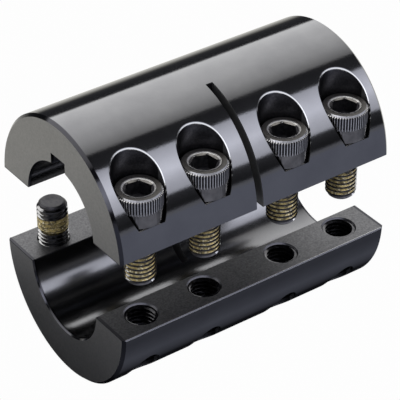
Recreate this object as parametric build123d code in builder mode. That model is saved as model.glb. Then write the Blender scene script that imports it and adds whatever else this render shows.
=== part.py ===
"""Split rigid shaft coupling with a keyway, opened: the upper half is lifted off the lower half.

Two half cylinders clamp two shafts end to end. Eight socket head cap screws hold them: the front
row goes down through the upper half into the lower one, the rear row goes up through the lower
half into the upper one. Both halves are the same shape, turned over about the bore's axis.

Frame: origin on the lower half's bore axis at mid-length, +X along the bore, +Z up,
-Y towards the front row of screws. Millimetres.
"""
import os

from build123d import *

INCH = 25.4

# Coupling body
OUTER_R = 1.625 * INCH / 2
BORE_R = 0.875 * INCH / 2
LENGTH = 2.5 * INCH
HALF_KERF = 0.65            # each split face stands this far from the bore's axis plane
OUTER_CHAMFER = 0.6
BORE_CHAMFER = 0.3
RIM_CHAMFER = 0.2
SPLIT_EDGE_CHAMFER = 0.2
LIFT = 16.1                 # upper half's height above its closed position

# Slit that lets each end of a half clamp by itself
SLIT_WIDTH = INCH / 16
SLIT_END_Y = 4.0            # the slit stops this far from the middle

# Keyway for a 3/16 inch key, in the upper half
KEY_WIDTH = 3 * INCH / 16
KEY_TOP = 13.4              # keyway's flat top above the bore's axis

# Screws: 1/4-28 by 9/16 inch socket head
THREAD_PITCH = INCH / 28
SCREW_R = 3.12              # a little under the thread's crests
SCREW_LENGTH = 9 * INCH / 16
HEAD_R = 0.365 * INCH / 2
HEAD_HEIGHT = 0.25 * INCH
HEAD_CHAMFER = 0.45
TIP_CHAMFER = 0.65
SOCKET_ACROSS_FLATS = 3 * INCH / 16
SOCKET_DEPTH = 0.12 * INCH
SCREW_Y = 15.4              # screw axis from the bore's axis
SCREW_X = (-24.2, -9.35, 9.35, 24.2)

# Holes for them
CLEARANCE_R = 3.35
POCKET_R = 5.1
POCKET_FLOOR = 6.0          # pocket floor above the bore's axis
TAPPED_R = 3.25
TAPPED_MOUTH_R = 3.5

# Nylon patch: a ring in a shallow groove of the thread
PATCH_LENGTH = 5.5 * THREAD_PITCH
PATCH_FROM_TIP = 2 * THREAD_PITCH
PATCH_INNER_R = 2.66
PATCH_OUTER_R = 3.08
PATCH_GAP = 0.05            # running clearance around the ring

# Each half is made split face down, then set on its seat
LOWER_SEAT = Plane(origin=(0, 0, 0), x_dir=(1, 0, 0), z_dir=(0, 0, -1))
UPPER_SEAT = Plane(origin=(0, 0, LIFT), x_dir=(1, 0, 0), z_dir=(0, 0, 1))


def coupling_half(keyed):
    """One half above the axis plane: head pockets along -Y, tapped holes along +Y."""
    with BuildPart() as half:
        with BuildSketch(Plane.XZ) as wall:
            with Locations((0, (OUTER_R + BORE_R) / 2)):
                Rectangle(LENGTH, OUTER_R - BORE_R)
            chamfer(wall.vertices().group_by(Axis.Y)[-1], OUTER_CHAMFER)
            chamfer(wall.vertices().group_by(Axis.Y)[0], BORE_CHAMFER)
        revolve(axis=Axis.X)
        split(bisect_by=Plane.XY.offset(HALF_KERF), keep=Keep.TOP)

        with Locations(*[(x, -SCREW_Y, OUTER_R) for x in SCREW_X]):
            CounterBoreHole(
                radius=CLEARANCE_R,
                counter_bore_radius=POCKET_R,
                counter_bore_depth=OUTER_R - POCKET_FLOOR,
                depth=OUTER_R,
            )
        with Locations(*[Location((x, SCREW_Y, HALF_KERF), (180, 0, 0)) for x in SCREW_X]):
            CounterSinkHole(
                radius=TAPPED_R,
                counter_sink_radius=TAPPED_MOUTH_R,
                depth=OUTER_R,
            )

        with BuildSketch(Plane.XY):
            with Locations((0, -SLIT_END_Y)):
                Rectangle(SLIT_WIDTH, OUTER_R, align=(Align.CENTER, Align.MAX))
        extrude(amount=OUTER_R, mode=Mode.SUBTRACT)

        if keyed:
            with BuildSketch(Plane.XY):
                Rectangle(LENGTH, KEY_WIDTH)
            extrude(amount=KEY_TOP, mode=Mode.SUBTRACT)

        # Only the rims of the pockets and tapped holes on the round outside are splines
        chamfer(half.edges().filter_by(GeomType.BSPLINE), RIM_CHAMFER)
        chamfer(half.edges().filter_by(Axis.X).group_by(Axis.Z)[0], SPLIT_EDGE_CHAMFER)
    return half.part


def cap_screw():
    """Socket head cap screw, head up, with its head's bearing face at z = 0."""
    with BuildPart() as screw:
        Cylinder(HEAD_R, HEAD_HEIGHT, align=(Align.CENTER, Align.CENTER, Align.MIN))
        chamfer(screw.edges().group_by(Axis.Z)[-1], HEAD_CHAMFER)
        with BuildSketch(Plane.XY.offset(HEAD_HEIGHT)):
            RegularPolygon(SOCKET_ACROSS_FLATS / 2, 6, major_radius=False)
        extrude(amount=-SOCKET_DEPTH, mode=Mode.SUBTRACT)

        Cylinder(SCREW_R, SCREW_LENGTH, align=(Align.CENTER, Align.CENTER, Align.MAX))
        chamfer(screw.edges().group_by(Axis.Z)[0], TIP_CHAMFER)

        groove_length = PATCH_LENGTH + 2 * PATCH_GAP
        with BuildSketch(Plane.XY.offset(PATCH_FROM_TIP - PATCH_GAP - SCREW_LENGTH)):
            Circle(SCREW_R)
            Circle(PATCH_INNER_R - PATCH_GAP, mode=Mode.SUBTRACT)
        extrude(amount=groove_length, mode=Mode.SUBTRACT)
    return screw.part


def locking_patch():
    """Ring of nylon that sits in the screw's groove, in the screw's own frame."""
    with BuildPart() as patch:
        with BuildSketch(Plane.XY.offset(PATCH_FROM_TIP - SCREW_LENGTH)):
            Circle(PATCH_OUTER_R)
            Circle(PATCH_INNER_R, mode=Mode.SUBTRACT)
        extrude(amount=PATCH_LENGTH)
    return patch.part


def save(part, name):
    """Write one finished piece under its own name."""
    part.label = name
    export_step(part, f"parts/{name}.step")


os.makedirs("parts", exist_ok=True)

save(LOWER_SEAT.location * coupling_half(keyed=False), "lower_half")
save(UPPER_SEAT.location * coupling_half(keyed=True), "upper_half")

# In its seat's frame every screw has the same place: through the head leg's pocket
for row, seat in (("front", UPPER_SEAT), ("rear", LOWER_SEAT)):
    for number, x in enumerate(SCREW_X, start=1):
        place = seat.location * Pos(x, -SCREW_Y, POCKET_FLOOR)
        save(place * cap_screw(), f"{row}_screw_{number}")
        save(place * locking_patch(), f"{row}_patch_{number}")
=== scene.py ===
"""Looks of a split rigid shaft coupling, opened: black oxide halves, threaded cap screws with yellow
nylon patches, a pale floor and soft studio light. Metres, in the CAD frame: +X along the bore, +Z up.
"""
from math import ceil, cos, floor, pi, radians, sin, sqrt, tau

import bmesh
import bpy
from mathutils import Matrix, Vector


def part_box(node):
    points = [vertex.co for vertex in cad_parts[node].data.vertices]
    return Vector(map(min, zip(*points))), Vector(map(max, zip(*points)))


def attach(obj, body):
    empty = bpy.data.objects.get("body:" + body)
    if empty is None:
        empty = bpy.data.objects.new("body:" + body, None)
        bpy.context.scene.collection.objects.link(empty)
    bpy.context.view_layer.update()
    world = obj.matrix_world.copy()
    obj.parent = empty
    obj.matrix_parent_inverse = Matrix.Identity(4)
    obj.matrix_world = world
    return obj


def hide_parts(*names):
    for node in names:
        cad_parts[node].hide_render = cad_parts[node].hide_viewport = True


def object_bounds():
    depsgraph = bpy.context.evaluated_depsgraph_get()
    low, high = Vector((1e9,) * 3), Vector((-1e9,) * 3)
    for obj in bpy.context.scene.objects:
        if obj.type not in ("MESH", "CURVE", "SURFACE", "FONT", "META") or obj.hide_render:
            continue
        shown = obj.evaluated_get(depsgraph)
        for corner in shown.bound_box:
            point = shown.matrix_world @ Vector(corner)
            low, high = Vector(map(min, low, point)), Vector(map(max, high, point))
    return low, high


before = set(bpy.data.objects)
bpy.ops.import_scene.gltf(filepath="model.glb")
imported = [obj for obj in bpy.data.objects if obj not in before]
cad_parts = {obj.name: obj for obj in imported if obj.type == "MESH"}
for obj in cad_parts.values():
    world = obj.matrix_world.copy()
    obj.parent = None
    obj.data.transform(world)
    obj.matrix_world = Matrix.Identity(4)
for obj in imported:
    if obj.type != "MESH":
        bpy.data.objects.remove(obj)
cad_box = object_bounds()

MM = 0.001
INCH = 0.0254

# Socket head cap screw, 1/4-28 by 9/16 inch, in its own frame: head up, bearing face at z = 0
PITCH = INCH / 28
SCREW_LENGTH = 9 * INCH / 16
HEAD_R = 0.365 * INCH / 2
HEAD_HEIGHT = INCH / 4
HEAD_CHAMFER = 0.38 * MM
THREAD_CREST_R = 3.12 * MM
THREAD_ROOT_R = 2.60 * MM
CREST_FLAT = 0.16           # of a pitch
ROOT_FLAT = 0.26            # of a pitch
NECK = 0.25 * PITCH         # plain shank under the head
THREAD_RUNOUT = 0.9 * PITCH     # the thread's surface ends this far under the head
TIP_LENGTH = 1.3 * MM       # rounded point: its length, and the radius lost at the very tip
TIP_INSET = 0.8 * MM
TIP_DIMPLE_R = 1.5 * MM
TIP_DIMPLE_DEPTH = 0.12 * MM
TIP_RIM_R = TIP_DIMPLE_R + 0.4 * MM
KNURL_TEETH = 54
KNURL_DEPTH = 0.24 * MM
KNURL_SHARE = 0.52          # share of the head's height that is knurled, from the top
KNURL_FADE = 0.25 * MM      # length over which its grooves run out at their lower end
BAND_STEP = 0.15 * MM       # the plain band starts this far under the knurl
BAND_TOP_INSET, BAND_LOW_INSET = 0.05 * MM, 0.03 * MM       # radius it lacks
FOOT_INSET, FOOT_HEIGHT = 0.25 * MM, 0.30 * MM              # bevel at the head's lower edge
SOCKET_FLAT_R = 3 * INCH / 32
SOCKET_DEPTH = 0.12 * INCH
SOCKET_DRILL = 0.9 * MM     # depth of the drill's point under the socket's floor
SOCKET_LEAD = 0.30 * MM     # depth of the lead-in round the hexagon
LEAD_RIM = 0.34 * MM        # width of the ring round the lead-in, rubbed and lightened as a painted highlight
LEAD_R = 2.90 * MM
STEP = 0.12 * MM            # height of the small bevels at the lead-in and over the knurl
HEX_TURNS = {"front": (8, 21, 3, 14), "rear": (17, 5, 26, 11)}   # degrees each socket is turned

# Nylon coat: its two ends, from the screw's tip, and its radius at the thread's crests
FRONT_COAT = (1.1 * MM, 9.2 * MM)
REAR_COAT = (3.0 * MM, 6.1 * MM)
FRONT_COAT_R = 3.05 * MM    # below the thread's crests, which stay bare
REAR_COAT_R = 3.14 * MM     # smeared thinly over them
COAT_ROOT_R = 2.70 * MM     # clear of the tapped thread it closes into
COAT_INSIDE_R = 2.5 * MM

# Tapped holes: wall and pocket floor as in the CAD, and the ridges inside
TAPPED_WALL_R = 3.25 * MM
TAPPED_SKIN = 0.02 * MM     # the ridges' mesh reaches this far into the wall
TAPPED_ROOT_R = TAPPED_WALL_R - 0.04 * MM
TAPPED_CREST_R = 2.74 * MM
TAPPED_MARGIN = 0.38 * MM   # ridges start this far inside the mouth
EXIT_MARGIN = 1.2 * MM      # and stop this far before the hole leaves the outside
POCKET_FLOOR = 6.0 * MM     # bearing face to the bore's axis plane

# Mesh fineness
MERGE_DISTANCE = 0.001 * MM
SHARP_ANGLE = radians(30)
HEAD_SIDES = 4 * KNURL_TEETH
THREAD_SIDES = KNURL_TEETH

# Material slots of a screw's mesh and of a coat's, and how they repeat
# The black slot is painted shade in the hex socket, the knurl's grooves and the thread's roots, and it
# also blackens the thread's crests and the tip
STEEL_SLOT, EDGE_SLOT, SHADE_SLOT, FLANK_SLOT = 0, 1, 2, 3
FULL_SLOT, WORN_SLOT = 0, 1
SERRATION = (EDGE_SLOT, STEEL_SLOT, SHADE_SLOT, SHADE_SLOT)     # of the knurl, round the head: crests lightened as a painted highlight, grooves black as painted shade
HELIX = (SHADE_SLOT, FLANK_SLOT, SHADE_SLOT, FLANK_SLOT)        # crest, flank, root, flank
COAT_HELIX = (WORN_SLOT, FULL_SLOT, FULL_SLOT, FULL_SLOT)       # the same rows of a coat

# The halves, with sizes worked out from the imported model
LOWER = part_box("lower_half")
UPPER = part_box("upper_half")
OUTER_R = -LOWER[0].z
LIFT = UPPER[1].z - OUTER_R
SPLIT_GAP = -LOWER[1].z     # each split face's distance from the bore's axis plane

# Sizes of the halves that repeat the CAD's
BORE_R = 0.875 * INCH / 2
END_CHAMFER = 0.6 * MM

# Where a half's finishes meet
SKIN = 0.06 * MM            # a point this near the outside's or bore's radius is on it
RIM_WIDTH = 0.30 * MM       # chamfered rims of pockets and holes, measured inwards
EDGE_WIDTH = 0.19 * MM      # chamfered edges along the split faces
SPLIT_SKIN = 0.01 * MM
FACES_ENDWAYS = 0.98        # least X of the normal on an end face
FACES_LEVEL = 0.99          # least Z of the normal on a level face


# ---------------------------------------------------------------- materials

def new_material(name):
    """An empty node material with its principled shader."""
    material = bpy.data.materials.new(name)
    material.use_nodes = True
    tree = material.node_tree
    return material, tree, tree.nodes["Principled BSDF"]


def add(tree, kind, **settings):
    """A node with its properties and unlinked inputs set by name."""
    node = tree.nodes.new(kind)
    for key, value in settings.items():
        if key in node.inputs:
            node.inputs[key].default_value = value
        else:
            setattr(node, key, value)
    return node


def math_node(tree, operation, a, b=None, clamp=False):
    """A Math node's output; a and b are sockets or numbers."""
    node = add(tree, "ShaderNodeMath", operation=operation, use_clamp=clamp)
    for slot, value in enumerate((a, b)):
        if value is None:
            continue
        if isinstance(value, (int, float)):
            node.inputs[slot].default_value = value
        else:
            tree.links.new(value, node.inputs[slot])
    return node.outputs[0]


def noise(tree, scale, detail=4.0, roughness=0.6):
    """Noise in object space, so that it stays on the piece."""
    where = add(tree, "ShaderNodeTexCoord")
    texture = add(tree, "ShaderNodeTexNoise", Scale=scale, Detail=detail, Roughness=roughness)
    tree.links.new(where.outputs["Object"], texture.inputs["Vector"])
    return texture.outputs["Fac"]


def spread(tree, value, low, high, from_low=0.3, from_high=0.7):
    """Maps a 0 to 1 noise to low..high."""
    node = add(tree, "ShaderNodeMapRange", clamp=True)
    node.inputs["From Min"].default_value = from_low
    node.inputs["From Max"].default_value = from_high
    node.inputs["To Min"].default_value = low
    node.inputs["To Max"].default_value = high
    tree.links.new(value, node.inputs["Value"])
    return node.outputs["Result"]


def mix_colour(tree, factor, a, b):
    """Mixes two colours, each a socket or an RGB tuple, by a factor socket."""
    node = add(tree, "ShaderNodeMix", data_type="RGBA")
    tree.links.new(factor, node.inputs[0])
    for slot, value in ((6, a), (7, b)):
        if isinstance(value, tuple):
            node.inputs[slot].default_value = (*value, 1.0)
        else:
            tree.links.new(value, node.inputs[slot])
    return node.outputs[2]


def mottled(tree, texture, dark, light):
    """A colour between two, patchy with a noise."""
    return mix_colour(tree, spread(tree, texture, 0.0, 1.0), dark, light)


def bump(tree, height, strength, distance):
    """A bump normal from a height socket."""
    node = add(tree, "ShaderNodeBump", Strength=strength, Distance=distance)
    tree.links.new(height, node.inputs["Height"])
    return node.outputs["Normal"]


def either(tree, *masks):
    """1 where any mask is 1."""
    total = masks[0]
    for mask in masks[1:]:
        total = math_node(tree, "MAXIMUM", total, mask)
    return total


def faces_level(tree, normal):
    """1 on level faces, from a separated normal."""
    return math_node(tree, "GREATER_THAN", math_node(tree, "ABSOLUTE", normal.outputs["Z"]), FACES_LEVEL)


def body_material(name, axis_height):
    """Black oxide steel of one half: polished outside and bore, ground end and split faces, dark drilled
    insides, and rims of pockets and holes lightened as a painted highlight. axis_height is where the
    half's bore axis is."""
    material, tree, shader = new_material(name)
    where = tree.nodes.new("ShaderNodeTexCoord")
    normal = tree.nodes.new("ShaderNodeSeparateXYZ")
    place = tree.nodes.new("ShaderNodeSeparateXYZ")
    tree.links.new(where.outputs["Normal"], normal.inputs[0])
    tree.links.new(where.outputs["Object"], place.inputs[0])
    height = math_node(tree, "SUBTRACT", place.outputs["Z"], axis_height)
    y_squared = math_node(tree, "MULTIPLY", place.outputs["Y"], place.outputs["Y"])
    z_squared = math_node(tree, "MULTIPLY", height, height)
    radius = math_node(tree, "SQRT", math_node(tree, "ADD", y_squared, z_squared))

    outside = math_node(tree, "GREATER_THAN", radius, OUTER_R - SKIN)
    bore = math_node(tree, "LESS_THAN", radius, BORE_R + SKIN)
    endways = math_node(tree, "ABSOLUTE", normal.outputs["X"])
    end_face = math_node(tree, "GREATER_THAN", endways, FACES_ENDWAYS)
    near_end = math_node(tree, "ABSOLUTE", place.outputs["X"])
    near_end = math_node(tree, "GREATER_THAN", near_end, LOWER[1].x - END_CHAMFER)
    chamfered = math_node(tree, "SUBTRACT", near_end, end_face, clamp=True)
    from_split = math_node(tree, "ABSOLUTE", height)
    split = math_node(tree, "LESS_THAN", from_split, SPLIT_GAP + SPLIT_SKIN)
    split = math_node(tree, "MULTIPLY", split, faces_level(tree, normal))
    ground = either(tree, end_face, split)
    rim = math_node(tree, "GREATER_THAN", radius, OUTER_R - RIM_WIDTH)
    rim = math_node(tree, "SUBTRACT", rim, either(tree, outside, near_end), clamp=True)
    edge = math_node(tree, "LESS_THAN", from_split, SPLIT_GAP + EDGE_WIDTH)
    edge = math_node(tree, "SUBTRACT", edge, split, clamp=True)
    polished = either(tree, outside, bore)

    fine = noise(tree, 2600.0, 3.0)
    cloud = noise(tree, 160.0, 5.0)
    colour = mottled(tree, fine, (0.045, 0.045, 0.050), (0.085, 0.083, 0.088))
    bright = mottled(tree, cloud, (0.140, 0.140, 0.145), (0.162, 0.162, 0.166))
    colour = mix_colour(tree, polished, colour, bright)
    sawn = mottled(tree, fine, (0.066, 0.066, 0.069), (0.132, 0.131, 0.134))
    colour = mix_colour(tree, split, colour, sawn)
    turned = mottled(tree, fine, (0.205, 0.205, 0.204), (0.258, 0.256, 0.251))
    colour = mix_colour(tree, end_face, colour, turned)
    # Painted highlight: the chamfered rims of the pockets and holes are lightened
    colour = mix_colour(tree, rim, colour, (0.38, 0.38, 0.37))
    colour = mix_colour(tree, either(tree, chamfered, edge), colour, (0.045, 0.045, 0.05))
    tree.links.new(colour, shader.inputs["Base Color"])
    shader.inputs["Metallic"].default_value = 1.0

    drilled = math_node(tree, "SUBTRACT", 1.0, either(tree, polished, ground, rim, chamfered), clamp=True)
    rough = math_node(tree, "MULTIPLY_ADD", ground, 0.36)
    tree.links.new(spread(tree, cloud, 0.07, 0.10), rough.node.inputs[2])
    rough = math_node(tree, "ADD", rough, math_node(tree, "MULTIPLY", drilled, 0.22))
    rough = math_node(tree, "ADD", rough, math_node(tree, "MULTIPLY", bore, 0.09))
    tree.links.new(rough, shader.inputs["Roughness"])

    depth = math_node(tree, "MULTIPLY_ADD", ground, 0.15)
    depth.node.inputs[2].default_value = 0.35
    grain = math_node(tree, "MULTIPLY", fine, depth)
    tree.links.new(bump(tree, grain, 1.0, 0.012 * MM), shader.inputs["Normal"])
    return material


def screw_material():
    """Black oxide over the head and the knurl's flanks; the head's flat top is rougher, and darker in
    colour as painted shade.
    """
    material, tree, shader = new_material("black_oxide_screw")
    where = tree.nodes.new("ShaderNodeTexCoord")
    normal = tree.nodes.new("ShaderNodeSeparateXYZ")
    tree.links.new(where.outputs["Normal"], normal.inputs[0])
    level = faces_level(tree, normal)
    fine = noise(tree, 2400.0, 4.0)
    cloud = noise(tree, 420.0, 4.0)
    colour = mottled(tree, cloud, (0.115, 0.110, 0.105), (0.240, 0.228, 0.212))
    # Painted shade: the flat top's colour is darker than the rest of the head
    top = mottled(tree, fine, (0.045, 0.042, 0.039), (0.085, 0.081, 0.076))
    tree.links.new(mix_colour(tree, level, colour, top), shader.inputs["Base Color"])
    shader.inputs["Metallic"].default_value = 1.0
    rough = math_node(tree, "MULTIPLY_ADD", level, 0.25)
    tree.links.new(spread(tree, fine, 0.12, 0.26), rough.node.inputs[2])
    tree.links.new(rough, shader.inputs["Roughness"])
    tree.links.new(bump(tree, fine, 0.8, 0.012 * MM), shader.inputs["Normal"])
    return material


def mottled_steel(name, grain, dark, light, rough, relief=None):
    """Metal with a patchy colour: the noise's scale, two colours, the range of its roughness, and the
    strength and distance of its bump."""
    material, tree, shader = new_material(name)
    fine = noise(tree, grain)
    tree.links.new(mottled(tree, fine, dark, light), shader.inputs["Base Color"])
    shader.inputs["Metallic"].default_value = 1.0
    tree.links.new(spread(tree, fine, *rough), shader.inputs["Roughness"])
    if relief:
        tree.links.new(bump(tree, fine, *relief), shader.inputs["Normal"])
    return material


def tapped_material():
    """Freshly tapped thread under black oxide."""
    dark, light = (0.025, 0.025, 0.028), (0.090, 0.088, 0.090)
    return mottled_steel("black_oxide_tapped", 1500.0, dark, light, (0.12, 0.24), (0.5, 0.01 * MM))


def rubbed_highlight_material():
    """Edges of the head and crests of its knurl, where the oxide is rubbed almost to bare steel, with the
    colour lifted further as a painted highlight.
    """
    dark, light = (0.50, 0.49, 0.475), (0.72, 0.71, 0.69)
    return mottled_steel("rubbed_and_highlit_head_edge", 2600.0, dark, light, (0.26, 0.36), (0.4, 0.012 * MM))


def painted_shade_material():
    """Deep black, darker than the screw's own oxide: painted shade inside the hex socket, in the knurl's
    grooves and at the thread's roots; the same black on the thread's crests and the tip.
    """
    dark, light = (0.030, 0.030, 0.034), (0.075, 0.073, 0.075)
    return mottled_steel("painted_shade_black", 1500.0, dark, light, (0.36, 0.50))


def flank_material():
    """The rolled thread's smooth flanks, which glint."""
    dark, light = (0.13, 0.13, 0.135), (0.40, 0.395, 0.385)
    return mottled_steel("black_oxide_flank", 1700.0, dark, light, (0.07, 0.14), (0.8, 0.03 * MM))


def nylon_material(name, bare, full):
    """Yellow nylon sprayed into the thread: patchy, with dark steel showing and pale specks painted on as
    glints. Where the cloud is under bare there is none, and over full it covers."""
    material, tree, shader = new_material(name)
    cloud = noise(tree, 1100.0, 5.0, 0.7)
    fine = noise(tree, 3600.0, 3.0)
    glint_specks = noise(tree, 2300.0, 2.0)
    cover = spread(tree, cloud, 0.0, 1.0, bare, full)
    colour = mix_colour(tree, cover, (0.025, 0.020, 0.010), (0.37, 0.29, 0.11))
    # Painted glints: pale specks over the nylon
    pale = spread(tree, glint_specks, 0.0, 0.85, 0.56, 0.66)
    colour = mix_colour(tree, pale, colour, (0.66, 0.60, 0.42))
    tree.links.new(colour, shader.inputs["Base Color"])
    shader.inputs["Metallic"].default_value = 0.35
    tree.links.new(spread(tree, fine, 0.22, 0.5), shader.inputs["Roughness"])
    tree.links.new(bump(tree, cloud, 1.0, 0.10 * MM), shader.inputs["Normal"])
    return material


# ---------------------------------------------------------------- mesh helpers

def mesh_object(name, bm, materials, place):
    """An object from a bmesh whose faces carry material indexes, with its place put in the mesh."""
    bmesh.ops.remove_doubles(bm, verts=bm.verts, dist=MERGE_DISTANCE)
    bm.transform(place)
    bmesh.ops.recalc_face_normals(bm, faces=bm.faces)
    for edge in bm.edges:
        edge.smooth = len(edge.link_faces) == 2 and edge.calc_face_angle() < SHARP_ANGLE
    for face in bm.faces:
        face.smooth = True
    mesh = bpy.data.meshes.new(name)
    bm.to_mesh(mesh)
    bm.free()
    for material in materials:
        mesh.materials.append(material)
    piece = bpy.data.objects.new(name, mesh)
    bpy.context.scene.collection.objects.link(piece)
    return piece


def ring(bm, radii, heights):
    """A closed ring of vertices round the z axis, from one radius and one height per vertex."""
    count = len(radii)
    points = []
    for i, (r, z) in enumerate(zip(radii, heights)):
        angle = tau * i / count
        points.append(bm.verts.new((r * cos(angle), r * sin(angle), z)))
    return points


def circle(bm, r, z, count):
    """A flat circular ring."""
    return ring(bm, [r] * count, [z] * count)


def bridge(bm, first, second, materials=(0,)):
    """Quads between two rings of the same count, with material slots that repeat round them."""
    count = len(first)
    for i in range(count):
        j = (i + 1) % count
        face = bm.faces.new((first[i], first[j], second[j], second[i]))
        face.material_index = materials[i % len(materials)]


def bridge_all(bm, rings, materials=(0,)):
    """Quads between each ring and the next."""
    for first, second in zip(rings, rings[1:]):
        bridge(bm, first, second, materials)


def cap(bm, edge, material):
    """Closes a flat ring with one face."""
    face = bm.faces.new(edge)
    face.material_index = material


# ---------------------------------------------------------------- thread form

def thread_radius(z, turn, crest, root):
    """Radius of a right-hand thread at a height and an angle in turns: crest where both agree."""
    t = (z / PITCH - turn) % 1.0
    from_crest = min(t, 1.0 - t)
    flank = 0.5 - CREST_FLAT / 2 - ROOT_FLAT / 2
    share = min(max((from_crest - CREST_FLAT / 2) / flank, 0.0), 1.0)
    return crest + (root - crest) * share


def threaded_rings(bm, lows, highs, crest, root, slots=(0, 0, 0, 0), largest=None):
    """A threaded surface between one low and one high end per side. Its rows follow the helix, four to
    a pitch, and are held at the ends, so the first and last row follow the ends. It returns those two.
    slots are the materials of crest, flank, root and flank. largest(z) caps the radius, as at a rounded
    tip, which has the crest's material."""
    corners = (-CREST_FLAT / 2, CREST_FLAT / 2, 0.5 - ROOT_FLAT / 2, 0.5 + ROOT_FLAT / 2)
    first_turn = floor(min(lows) / PITCH) - 2
    last_turn = ceil(max(highs) / PITCH) + 1
    rows = []
    for turn in range(first_turn, last_turn + 1):
        for corner in corners:
            heights, radii = [], []
            for side, (low, high) in enumerate(zip(lows, highs)):
                z = min(max((turn + corner + side / THREAD_SIDES) * PITCH, low), high)
                r = thread_radius(z, side / THREAD_SIDES, crest, root)
                heights.append(z)
                radii.append(min(r, largest(z)) if largest else r)
            rows.append(ring(bm, radii, heights))

    last = len(rows) - 1
    per_pitch = len(corners)
    for k in range(last):
        for side in range(THREAD_SIDES):
            beside, above = rows[k], rows[k + 1]
            next_side = side + 1
            if next_side == THREAD_SIDES:
                # Once round, a row of the helix meets the row one pitch up
                beside, above = rows[min(k + per_pitch, last)], rows[min(k + 1 + per_pitch, last)]
                next_side = 0
            corners_of = [rows[k][side], beside[next_side], rows[k + 1][side]]
            if beside is not above:
                corners_of.insert(2, above[next_side])
            pointed = largest and largest(rows[k][side].co.z) < (crest + root) / 2
            bm.faces.new(corners_of).material_index = slots[0 if pointed else k % per_pitch]
    return rows[0], rows[-1]


# ---------------------------------------------------------------- screws

def hexagon_radius(angle, flat_r):
    """Distance from the middle to a hexagon's side at an angle."""
    return flat_r / cos((angle % (pi / 3)) - pi / 6)


def knurl_radius(index, depth):
    """Radius of the head's serrated side at one of its ring's vertices, four to a tooth."""
    return HEAD_R - (0.0, 0.0, 1.0, 1.0)[index % 4] * depth


def head_rings(bm, hex_turn):
    """Rings of a socket head, from the socket's floor over the top and down the side."""
    count = HEAD_SIDES
    socket = [hexagon_radius(tau * i / count + hex_turn, SOCKET_FLAT_R) for i in range(count)]
    floor_z = HEAD_HEIGHT - SOCKET_DEPTH
    lead_z = HEAD_HEIGHT - SOCKET_LEAD
    knurl_low = HEAD_HEIGHT * (1 - KNURL_SHARE)
    knurl_high = HEAD_HEIGHT - HEAD_CHAMFER

    drill = [
        circle(bm, 0.08 * SOCKET_FLAT_R, floor_z - SOCKET_DRILL, count),
        circle(bm, 0.90 * SOCKET_FLAT_R, floor_z, count),
    ]
    hole = [
        ring(bm, socket, [floor_z] * count),
        ring(bm, socket, [lead_z] * count),
    ]
    top = [
        ring(bm, [max(r, LEAD_R) for r in socket], [HEAD_HEIGHT - STEP] * count),
        circle(bm, LEAD_R + LEAD_RIM, HEAD_HEIGHT, count),
        circle(bm, HEAD_R - HEAD_CHAMFER, HEAD_HEIGHT, count),
        circle(bm, HEAD_R - KNURL_DEPTH, knurl_high, count),
    ]
    side = []
    for z, depth in ((knurl_high - STEP, 1.0), (knurl_low + KNURL_FADE, 1.0), (knurl_low, 0.25)):
        radii = [knurl_radius(i, KNURL_DEPTH * depth) for i in range(count)]
        side.append(ring(bm, radii, [z] * count))
    band = [
        circle(bm, HEAD_R - BAND_TOP_INSET, knurl_low - BAND_STEP, count),
        circle(bm, HEAD_R - BAND_LOW_INSET, FOOT_HEIGHT, count),
        circle(bm, HEAD_R - FOOT_INSET, 0.0, count),
    ]
    return drill, hole, top, side, band


def tip_limit(z):
    """The shank's largest radius near its rounded tip."""
    share = min((z + SCREW_LENGTH) / TIP_LENGTH, 1.0)
    return THREAD_CREST_R - TIP_INSET * (1.0 - share) ** 2


def cap_screw(name, place, hex_turn, materials):
    """Socket head cap screw in its own frame, head up, with its bearing face at z = 0."""
    bm = bmesh.new()
    drill, hole, top, side, band = head_rings(bm, hex_turn)
    # Painted shade: the socket's inside and the drill's point take the deep black
    cap(bm, drill[0], SHADE_SLOT)
    bridge_all(bm, drill + hole, (SHADE_SLOT,))
    bridge(bm, hole[-1], top[0])
    bridge(bm, top[0], top[1], (EDGE_SLOT,))
    bridge(bm, top[1], top[2])
    bridge(bm, top[2], top[3], (EDGE_SLOT,))
    bridge(bm, top[3], side[0], SERRATION)
    bridge_all(bm, side, SERRATION)
    bridge_all(bm, [side[-1]] + band)

    shank_top = circle(bm, THREAD_CREST_R, 0.0, THREAD_SIDES)
    per_side = HEAD_SIDES // THREAD_SIDES
    for i in range(THREAD_SIDES):
        outer = [band[-1][(i * per_side + k) % HEAD_SIDES] for k in range(per_side + 1)]
        bm.faces.new([shank_top[i], *outer, shank_top[(i + 1) % THREAD_SIDES]])

    neck = circle(bm, THREAD_CREST_R, -NECK, THREAD_SIDES)
    bridge(bm, shank_top, neck)
    lows, highs = [-SCREW_LENGTH] * THREAD_SIDES, [-THREAD_RUNOUT] * THREAD_SIDES
    tip, top_turn = threaded_rings(bm, lows, highs, THREAD_CREST_R, THREAD_ROOT_R, HELIX, tip_limit)
    bridge(bm, neck, top_turn)
    rim = circle(bm, TIP_RIM_R, -SCREW_LENGTH, THREAD_SIDES)
    dimple = circle(bm, TIP_DIMPLE_R, TIP_DIMPLE_DEPTH - SCREW_LENGTH, THREAD_SIDES)
    bridge_all(bm, [tip, rim, dimple], (SHADE_SLOT,))
    cap(bm, dimple, SHADE_SLOT)
    return mesh_object(name, bm, materials, place)


def thread_coat(name, place, ends, crest, materials):
    """Nylon that fills the thread's grooves between two distances from the tip."""
    bm = bmesh.new()
    low, high = (end - SCREW_LENGTH for end in ends)
    lows, highs = [low] * THREAD_SIDES, [high] * THREAD_SIDES
    first, last = threaded_rings(bm, lows, highs, crest, COAT_ROOT_R, COAT_HELIX)
    inside = [circle(bm, COAT_INSIDE_R, z, THREAD_SIDES) for z in (high, low)]
    bridge_all(bm, [last, *inside, first])
    return mesh_object(name, bm, materials, place)


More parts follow.
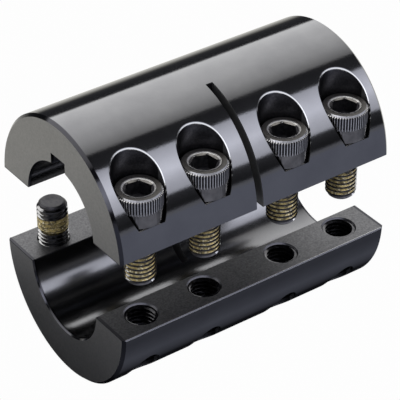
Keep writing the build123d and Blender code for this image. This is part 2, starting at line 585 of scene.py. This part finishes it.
def tapped_thread(name, place, y_axis, material):
    """Thread ridges inside a tapped hole, in its screw's frame at the closed position, from the split
    face to where the hole leaves the round outside. y_axis is its distance from the bore's axis."""
    mouths, exits = [], []
    for side in range(THREAD_SIDES):
        y = y_axis - TAPPED_WALL_R * sin(tau * side / THREAD_SIDES)
        mouths.append(-POCKET_FLOOR - SPLIT_GAP - TAPPED_MARGIN)
        exits.append(-POCKET_FLOOR - sqrt(OUTER_R ** 2 - y ** 2) + EXIT_MARGIN)
    bm = bmesh.new()
    wall_r = TAPPED_WALL_R + TAPPED_SKIN
    first, last = threaded_rings(bm, exits, mouths, TAPPED_ROOT_R, TAPPED_CREST_R)
    outside = [ring(bm, [wall_r] * THREAD_SIDES, mouths), ring(bm, [wall_r] * THREAD_SIDES, exits)]
    bridge_all(bm, [last, *outside, first])
    return mesh_object(name, bm, [material], place)


# ---------------------------------------------------------------- the object

BODY = {
    "lower_half": body_material("black_oxide_lower", 0.0),
    "upper_half": body_material("black_oxide_upper", LIFT),
}
SCREW = screw_material()
TAPPED = tapped_material()
EDGE = rubbed_highlight_material()
SHADE_BLACK = painted_shade_material()
FLANK = flank_material()
NYLON = [nylon_material("nylon_patch", 0.36, 0.60), nylon_material("nylon_worn", 0.50, 0.64)]

for node, material in BODY.items():
    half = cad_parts[node]
    half.data.materials.clear()
    half.data.materials.append(material)

for row, tapped_in, ends, crest in (
    ("front", "lower_half", FRONT_COAT, FRONT_COAT_R),
    ("rear", "upper_half", REAR_COAT, REAR_COAT_R),
):
    for number, hex_turn in enumerate(HEX_TURNS[row], start=1):
        node = f"{row}_screw_{number}"
        low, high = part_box(node)
        middle = (low + high) / 2
        if row == "front":
            seat = Matrix.Translation((middle.x, middle.y, high.z - HEAD_HEIGHT))
            closed = Matrix.Translation((0, 0, -LIFT)) @ seat
        else:
            turned = Matrix.Rotation(pi, 4, "X")
            seat = Matrix.Translation((middle.x, middle.y, low.z + HEAD_HEIGHT)) @ turned
            closed = Matrix.Translation((0, 0, LIFT)) @ seat

        screw = cap_screw(f"{node}_threaded", seat, radians(hex_turn), [SCREW, EDGE, SHADE_BLACK, FLANK])
        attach(screw, node)
        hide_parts(node)

        coat = thread_coat(f"{row}_patch_{number}_nylon", seat, ends, crest, NYLON)
        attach(coat, node)
        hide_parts(f"{row}_patch_{number}")

        thread = tapped_thread(f"{tapped_in}_thread_{number}", closed, abs(middle.y), TAPPED)
        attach(thread, tapped_in)


# ---------------------------------------------------------------- studio

CAMERA_AIM = Vector((0.31, -0.71, 7.49)) * MM
CAMERA_AZIMUTH = radians(-35.94)    # 0 looks along +Y
CAMERA_ELEVATION = radians(34.70)
CAMERA_DISTANCE = 405.4 * MM
CAMERA_LENS = 183.8
SENSOR_WIDTH = 36.0
BACKDROP = 0.985            # the plain white that the camera sees

# Softboxes along X, as the light round the X axis: degrees, with 0 towards +Y and 90 straight up,
# radiance, and tint
WARM, PLAIN, COOL, BLUE = (1.0, 0.985, 0.925), (1.0, 1.0, 1.0), (0.93, 0.95, 1.06), (0.85, 0.90, 1.12)
SKY = (
    (-180, 0.50, COOL), (-150, 0.50, COOL), (-60, 0.80, WARM), (-28, 0.85, WARM), (-21, 0.50, WARM),
    (-13, 0.12, PLAIN), (3, 0.06, COOL), (18, 0.06, COOL), (20, 2.40, PLAIN), (34, 2.30, PLAIN),
    (54, 2.05, PLAIN), (75, 1.45, PLAIN), (89, 0.70, PLAIN), (91, 0.07, COOL), (109, 0.10, COOL),
    (111, 2.00, COOL), (125, 2.95, COOL), (136, 3.40, COOL), (147, 2.50, COOL), (160, 1.90, COOL),
    (162, 0.12, COOL), (174, 0.06, COOL), (178, 0.06, COOL), (180, 0.50, COOL),
)
BRIGHTEST = 4.0             # strength of a colour ramp's 1.0

# Floor as reflections see it, dimmed near the object as a painted shadow: at the ends and behind, by mm
# from the object, and in front
FLOOR_HALF_SIZE = 0.9
SHADOWED_FLOOR_ROUND = (
    (0, 0.01, BLUE), (20, 0.05, BLUE), (35, 0.35, COOL), (52, 0.98, WARM), (75, 0.78, WARM),
    (180, 0.66, WARM), (350, 0.40, WARM), (530, 0.26, WARM), (900, 0.10, WARM),
)
SHADOWED_FLOOR_FRONT = ((0, 0.24, BLUE), (12, 0.17, BLUE), (25, 0.22, BLUE), (40, 0.52, BLUE), (150, 0.54, BLUE))
FRONT_EDGE = (14 * MM, 22 * MM)     # where the one blends into the other, towards -Y


def ramp(tree, value, stops, scale):
    """A colour ramp through (position 0 to 1, strength, tint) stops, up to a strength of scale."""
    node = tree.nodes.new("ShaderNodeValToRGB")
    elements = node.color_ramp.elements
    elements[0].position, elements[1].position = stops[0][0], stops[-1][0]
    for stop in stops[1:-1]:
        elements.new(stop[0])
    for element, (_, strength, tint) in zip(elements, stops):
        element.color = [strength / scale * channel for channel in tint] + [1.0]
    tree.links.new(value, node.inputs["Fac"])
    return node.outputs["Color"]


def light_up(tree, output, light, scale):
    """Emits the plain backdrop towards the camera, and a light colour for every other ray."""
    path = tree.nodes.new("ShaderNodeLightPath")
    seen = (BACKDROP / scale,) * 3
    glow = tree.nodes.new("ShaderNodeEmission")
    glow.inputs["Strength"].default_value = scale
    tree.links.new(mix_colour(tree, path.outputs["Is Camera Ray"], light, seen), glow.inputs["Color"])
    tree.links.new(glow.outputs[0], output.inputs["Surface"])


def make_world():
    """Softboxes round the object."""
    world = bpy.data.worlds.new("studio")
    world.use_nodes = True
    tree = world.node_tree
    where = tree.nodes.new("ShaderNodeTexCoord")
    axes = tree.nodes.new("ShaderNodeSeparateXYZ")
    tree.links.new(where.outputs["Generated"], axes.inputs[0])
    angle = math_node(tree, "ARCTAN2", axes.outputs["Z"], axes.outputs["Y"])
    around = math_node(tree, "MULTIPLY_ADD", angle, 1 / tau)
    around.node.inputs[2].default_value = 0.5
    stops = [(degrees / 360 + 0.5, strength, tint) for degrees, strength, tint in SKY]
    light_up(tree, tree.nodes["World Output"], ramp(tree, around, stops, BRIGHTEST), BRIGHTEST)
    bpy.context.scene.world = world


def floor_light(tree, distance, stops):
    """The floor's light at a distance in metres, from stops in mm."""
    reach = stops[-1][0]
    share = math_node(tree, "DIVIDE", distance, reach * MM, clamp=True)
    return ramp(tree, share, [(at / reach, strength, tint) for at, strength, tint in stops], BRIGHTEST)


def make_floor():
    """A floor under the object: plain pale to the camera, and to every other ray a light dimmed near the
    object as a painted shadow.
    """
    bm = bmesh.new()
    bmesh.ops.create_grid(bm, x_segments=1, y_segments=1, size=FLOOR_HALF_SIZE)
    bmesh.ops.translate(bm, vec=(0, 0, cad_box[0].z), verts=bm.verts)
    mesh = bpy.data.meshes.new("studio_floor")
    bm.to_mesh(mesh)
    bm.free()
    piece = bpy.data.objects.new("studio_floor", mesh)
    bpy.context.scene.collection.objects.link(piece)

    material, tree, _ = new_material("studio_floor")
    where = tree.nodes.new("ShaderNodeTexCoord")
    axes = tree.nodes.new("ShaderNodeSeparateXYZ")
    tree.links.new(where.outputs["Object"], axes.inputs[0])
    outside = []
    for axis, half_size in (("X", LOWER[1].x), ("Y", OUTER_R)):
        away = math_node(tree, "SUBTRACT", math_node(tree, "ABSOLUTE", axes.outputs[axis]), half_size)
        away = math_node(tree, "MAXIMUM", away, 0.0)
        outside.append(math_node(tree, "MULTIPLY", away, away))
    distance = math_node(tree, "SQRT", math_node(tree, "ADD", *outside))
    forward = math_node(tree, "MULTIPLY", axes.outputs["Y"], -1.0)
    ahead = math_node(tree, "SUBTRACT", forward, OUTER_R)
    in_front = spread(tree, forward, 0.0, 1.0, *FRONT_EDGE)
    around = floor_light(tree, distance, SHADOWED_FLOOR_ROUND)
    light = mix_colour(tree, in_front, around, floor_light(tree, ahead, SHADOWED_FLOOR_FRONT))
    light_up(tree, tree.nodes["Material Output"], light, BRIGHTEST)
    mesh.materials.append(material)


def make_camera():
    """Camera on a sphere round its aim."""
    flat = cos(CAMERA_ELEVATION)
    looks = Vector((-sin(CAMERA_AZIMUTH) * flat, cos(CAMERA_AZIMUTH) * flat, -sin(CAMERA_ELEVATION)))
    camera = bpy.data.objects.new("camera", bpy.data.cameras.new("camera"))
    camera.data.lens = CAMERA_LENS
    camera.data.sensor_width = SENSOR_WIDTH
    camera.data.clip_start, camera.data.clip_end = 0.01, 10.0
    camera.location = CAMERA_AIM - looks * CAMERA_DISTANCE
    camera.rotation_euler = looks.to_track_quat("-Z", "Y").to_euler()
    bpy.context.scene.collection.objects.link(camera)
    bpy.context.scene.camera = camera


make_world()
make_floor()
make_camera()
bpy.context.scene.view_settings.view_transform = "Standard"
